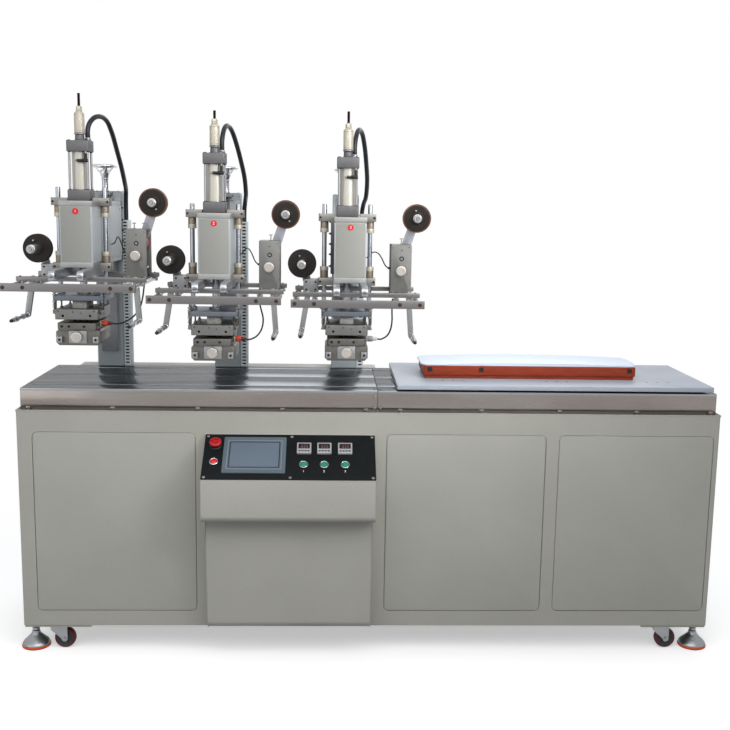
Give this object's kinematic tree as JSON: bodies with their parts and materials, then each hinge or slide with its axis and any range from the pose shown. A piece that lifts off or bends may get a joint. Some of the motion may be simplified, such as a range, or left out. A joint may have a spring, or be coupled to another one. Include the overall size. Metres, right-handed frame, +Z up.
{
  "type": "hot stamping machine",
  "caption": "Bench-height hot stamping machine: pneumatic foil stamping heads on rear columns over a long bed with a sliding work table, and a sloping operator console.",
  "frame": {"origin": "on the floor, under the middle of the machine's bounding box", "axes": "+X along the bed to the operator's right, +Y from the operator to the rear, +Z up"},
  "size_m": [2.476, 0.847, 1.931],
  "materials": {
    "cabinet": "satin",
    "left_panel": "satin",
    "middle_panel": "satin",
    "right_panel": "satin",
    "bed": "satin",
    "console": "satin",
    "control_panel": "satin",
    "emergency_stop": "satin",
    "shuttle_table": "satin",
    "fixture_board": "satin",
    "work_blank": "satin",
    "start_button_1": "satin",
    "start_button_2": "satin",
    "start_button_3": "satin",
    "levelling_foot_front_left": "satin",
    "castor_wheel_front_left": "satin",
    "levelling_foot_front_right": "satin",
    "castor_wheel_front_right": "satin",
    "levelling_foot_rear_left": "satin",
    "castor_wheel_rear_left": "satin",
    "levelling_foot_rear_right": "satin",
    "castor_wheel_rear_right": "satin",
    "castor_fork_front_left": "satin",
    "castor_fork_front_right": "satin",
    "column_1": "satin",
    "handwheel_1": "satin",
    "head_housing_1": "satin",
    "air_cylinder_1": "satin",
    "ram_1": "satin",
    "die_head_1": "satin",
    "die_knob_1": "satin",
    "foil_frame_1": "satin",
    "supply_reel_1": "satin",
    "rewind_reel_1": "satin",
    "feed_knob_1": "satin",
    "air_hose_1": "satin",
    "column_2": "satin",
    "handwheel_2": "satin",
    "head_housing_2": "satin",
    "air_cylinder_2": "satin",
    "ram_2": "satin",
    "die_head_2": "satin",
    "die_knob_2": "satin",
    "foil_frame_2": "satin",
    "supply_reel_2": "satin",
    "rewind_reel_2": "satin",
    "feed_knob_2": "satin",
    "air_hose_2": "satin",
    "column_3": "satin",
    "handwheel_3": "satin",
    "head_housing_3": "satin",
    "air_cylinder_3": "satin",
    "ram_3": "satin",
    "die_head_3": "satin",
    "die_knob_3": "satin",
    "foil_frame_3": "satin",
    "supply_reel_3": "satin",
    "rewind_reel_3": "satin",
    "feed_knob_3": "satin",
    "air_hose_3": "satin"
  },
  "bodies": {
    "base": {"cabinet": "cabinet", "bed": "bed", "left_panel": "left_panel", "middle_panel": "middle_panel", "right_panel": "right_panel", "console": "console", "control_panel": "control_panel", "column_1": "column_1", "column_2": "column_2", "column_3": "column_3"},
    "table": {"shuttle_table": "shuttle_table", "fixture_board": "fixture_board", "work_blank": "work_blank"},
    "handwheel_1": {"handwheel_1": "handwheel_1"},
    "head_1": {"head_housing_1": "head_housing_1", "air_cylinder_1": "air_cylinder_1", "foil_frame_1": "foil_frame_1", "air_hose_1": "air_hose_1"},
    "ram_1": {"ram_1": "ram_1", "die_head_1": "die_head_1"},
    "die_knob_1": {"die_knob_1": "die_knob_1"},
    "supply_reel_1": {"supply_reel_1": "supply_reel_1"},
    "rewind_reel_1": {"rewind_reel_1": "rewind_reel_1"},
    "feed_knob_1": {"feed_knob_1": "feed_knob_1"},
    "handwheel_2": {"handwheel_2": "handwheel_2"},
    "head_2": {"head_housing_2": "head_housing_2", "air_cylinder_2": "air_cylinder_2", "foil_frame_2": "foil_frame_2", "air_hose_2": "air_hose_2"},
    "ram_2": {"ram_2": "ram_2", "die_head_2": "die_head_2"},
    "die_knob_2": {"die_knob_2": "die_knob_2"},
    "supply_reel_2": {"supply_reel_2": "supply_reel_2"},
    "rewind_reel_2": {"rewind_reel_2": "rewind_reel_2"},
    "feed_knob_2": {"feed_knob_2": "feed_knob_2"},
    "handwheel_3": {"handwheel_3": "handwheel_3"},
    "head_3": {"head_housing_3": "head_housing_3", "air_cylinder_3": "air_cylinder_3", "foil_frame_3": "foil_frame_3", "air_hose_3": "air_hose_3"},
    "ram_3": {"ram_3": "ram_3", "die_head_3": "die_head_3"},
    "die_knob_3": {"die_knob_3": "die_knob_3"},
    "supply_reel_3": {"supply_reel_3": "supply_reel_3"},
    "rewind_reel_3": {"rewind_reel_3": "rewind_reel_3"},
    "feed_knob_3": {"feed_knob_3": "feed_knob_3"},
    "emergency_stop": {"emergency_stop": "emergency_stop"},
    "start_button_1": {"start_button_1": "start_button_1"},
    "start_button_2": {"start_button_2": "start_button_2"},
    "start_button_3": {"start_button_3": "start_button_3"},
    "castor_fork_front_left": {"castor_fork_front_left": "castor_fork_front_left"},
    "castor_fork_front_right": {"castor_fork_front_right": "castor_fork_front_right"},
    "castor_wheel_front_left": {"castor_wheel_front_left": "castor_wheel_front_left"},
    "castor_wheel_front_right": {"castor_wheel_front_right": "castor_wheel_front_right"},
    "castor_wheel_rear_left": {"castor_wheel_rear_left": "castor_wheel_rear_left"},
    "castor_wheel_rear_right": {"castor_wheel_rear_right": "castor_wheel_rear_right"},
    "levelling_foot_front_left": {"levelling_foot_front_left": "levelling_foot_front_left"},
    "levelling_foot_front_right": {"levelling_foot_front_right": "levelling_foot_front_right"},
    "levelling_foot_rear_left": {"levelling_foot_rear_left": "levelling_foot_rear_left"},
    "levelling_foot_rear_right": {"levelling_foot_rear_right": "levelling_foot_rear_right"}
  },
  "joints": [
    {"name": "table_slide", "type": "slide", "parent": "base", "child": "table", "axis": [-1, 0, 0], "range_m": [0, 1.25]},
    {"name": "head_slide_1", "type": "slide", "parent": "base", "child": "head_1", "axis": [0, 0, 1], "range_m": [-0.05, 0.018]},
    {"name": "handwheel_turn_1", "type": "hinge", "parent": "base", "child": "handwheel_1", "pos_m": [-0.993, 0.2905, 1.693], "axis": [0, 0, 1], "range_deg": [-3600, 1296]},
    {"name": "ram_slide_1", "type": "slide", "parent": "head_1", "child": "ram_1", "axis": [0, 0, 1], "range_m": [0, 0.05]},
    {"name": "supply_reel_turn_1", "type": "hinge", "parent": "head_1", "child": "supply_reel_1", "pos_m": [-1.147, -0.0715, 1.414], "axis": [0, 1, 0], "continuous": true},
    {"name": "rewind_reel_turn_1", "type": "hinge", "parent": "head_1", "child": "rewind_reel_1", "pos_m": [-0.754, -0.0715, 1.573], "axis": [0, 1, 0], "continuous": true},
    {"name": "die_knob_turn_1", "type": "hinge", "parent": "ram_1", "child": "die_knob_1", "pos_m": [-0.993, -0.1825, 1.126], "axis": [0, 1, 0], "continuous": true},
    {"name": "feed_knob_turn_1", "type": "hinge", "parent": "head_1", "child": "feed_knob_1", "pos_m": [-0.8085, -0.1115, 1.395], "axis": [0, 1, 0], "continuous": true},
    {"name": "head_slide_2", "type": "slide", "parent": "base", "child": "head_2", "axis": [0, 0, 1], "range_m": [-0.03, 0.05]},
    {"name": "handwheel_turn_2", "type": "hinge", "parent": "base", "child": "handwheel_2", "pos_m": [-0.543, 0.2905, 1.693], "axis": [0, 0, 1], "range_deg": [-2160, 3600]},
    {"name": "ram_slide_2", "type": "slide", "parent": "head_2", "child": "ram_2", "axis": [0, 0, 1], "range_m": [0, 0.05]},
    {"name": "supply_reel_turn_2", "type": "hinge", "parent": "head_2", "child": "supply_reel_2", "pos_m": [-0.697, -0.0715, 1.381], "axis": [0, 1, 0], "continuous": true},
    {"name": "rewind_reel_turn_2", "type": "hinge", "parent": "head_2", "child": "rewind_reel_2", "pos_m": [-0.304, -0.0715, 1.54], "axis": [0, 1, 0], "continuous": true},
    {"name": "die_knob_turn_2", "type": "hinge", "parent": "ram_2", "child": "die_knob_2", "pos_m": [-0.543, -0.1825, 1.078], "axis": [0, 1, 0], "continuous": true},
    {"name": "feed_knob_turn_2", "type": "hinge", "parent": "head_2", "child": "feed_knob_2", "pos_m": [-0.3585, -0.1115, 1.362], "axis": [0, 1, 0], "continuous": true},
    {"name": "head_slide_3", "type": "slide", "parent": "base", "child": "head_3", "axis": [0, 0, 1], "range_m": [-0.025, 0.05]},
    {"name": "handwheel_turn_3", "type": "hinge", "parent": "base", "child": "handwheel_3", "pos_m": [-0.093, 0.2905, 1.693], "axis": [0, 0, 1], "range_deg": [-1800, 3600]},
    {"name": "ram_slide_3", "type": "slide", "parent": "head_3", "child": "ram_3", "axis": [0, 0, 1], "range_m": [0, 0.05]},
    {"name": "supply_reel_turn_3", "type": "hinge", "parent": "head_3", "child": "supply_reel_3", "pos_m": [-0.247, -0.0715, 1.374], "axis": [0, 1, 0], "continuous": true},
    {"name": "rewind_reel_turn_3", "type": "hinge", "parent": "head_3", "child": "rewind_reel_3", "pos_m": [0.146, -0.0715, 1.533], "axis": [0, 1, 0], "continuous": true},
    {"name": "die_knob_turn_3", "type": "hinge", "parent": "ram_3", "child": "die_knob_3", "pos_m": [-0.093, -0.1825, 1.083], "axis": [0, 1, 0], "continuous": true},
    {"name": "feed_knob_turn_3", "type": "hinge", "parent": "head_3", "child": "feed_knob_3", "pos_m": [0.0915, -0.1115, 1.355], "axis": [0, 1, 0], "continuous": true},
    {"name": "emergency_stop_push", "type": "slide", "parent": "base", "child": "emergency_stop", "axis": [0, 0.5581, -0.8298], "range_m": [0, 0.005]},
    {"name": "start_button_push_1", "type": "slide", "parent": "base", "child": "start_button_1", "axis": [0, 0.5581, -0.8298], "range_m": [0, 0.003], "stiffness_N_per_m": 400, "springref_m": -0.002},
    {"name": "start_button_push_2", "type": "slide", "parent": "base", "child": "start_button_2", "axis": [0, 0.5581, -0.8298], "range_m": [0, 0.003], "stiffness_N_per_m": 400, "springref_m": -0.002},
    {"name": "start_button_push_3", "type": "slide", "parent": "base", "child": "start_button_3", "axis": [0, 0.5581, -0.8298], "range_m": [0, 0.003], "stiffness_N_per_m": 400, "springref_m": -0.002},
    {"name": "castor_swivel_front_left", "type": "hinge", "parent": "base", "child": "castor_fork_front_left", "pos_m": [-1.106, -0.1305, 0.097], "axis": [0, 0, 1], "range_deg": [-100, 100]},
    {"name": "castor_swivel_front_right", "type": "hinge", "parent": "base", "child": "castor_fork_front_right", "pos_m": [1.054, -0.1305, 0.097], "axis": [0, 0, 1], "continuous": true},
    {"name": "castor_roll_front_left", "type": "hinge", "parent": "castor_fork_front_left", "child": "castor_wheel_front_left", "pos_m": [-1.08, -0.1305, 0.0385], "axis": [0, 1, 0], "continuous": true},
    {"name": "castor_roll_front_right", "type": "hinge", "parent": "castor_fork_front_right", "child": "castor_wheel_front_right", "pos_m": [1.08, -0.1305, 0.0385], "axis": [0, 1, 0], "continuous": true},
    {"name": "castor_roll_rear_left", "type": "hinge", "parent": "base", "child": "castor_wheel_rear_left", "pos_m": [-1.08, 0.3675, 0.0385], "axis": [0, 1, 0], "continuous": true},
    {"name": "castor_roll_rear_right", "type": "hinge", "parent": "base", "child": "castor_wheel_rear_right", "pos_m": [1.08, 0.3675, 0.0385], "axis": [0, 1, 0], "continuous": true},
    {"name": "foot_turn_front_left", "type": "hinge", "parent": "base", "child": "levelling_foot_front_left", "pos_m": [-1.188, -0.1165, 0.05], "axis": [0, 0, 1], "continuous": true},
    {"name": "foot_turn_front_right", "type": "hinge", "parent": "base", "child": "levelling_foot_front_right", "pos_m": [1.188, -0.1165, 0.05], "axis": [0, 0, 1], "continuous": true},
    {"name": "foot_turn_rear_left", "type": "hinge", "parent": "base", "child": "levelling_foot_rear_left", "pos_m": [-1.188, 0.3535, 0.05], "axis": [0, 0, 1], "continuous": true},
    {"name": "foot_turn_rear_right", "type": "hinge", "parent": "base", "child": "levelling_foot_rear_right", "pos_m": [1.188, 0.3535, 0.05], "axis": [0, 0, 1], "continuous": true}
  ],
  "couplings": [
    {"joint": "handwheel_turn_1", "follows": "head_slide_1", "rad_per_m": 1256.6},
    {"joint": "handwheel_turn_2", "follows": "head_slide_2", "rad_per_m": 1256.6},
    {"joint": "handwheel_turn_3", "follows": "head_slide_3", "rad_per_m": 1256.6}
  ]
}
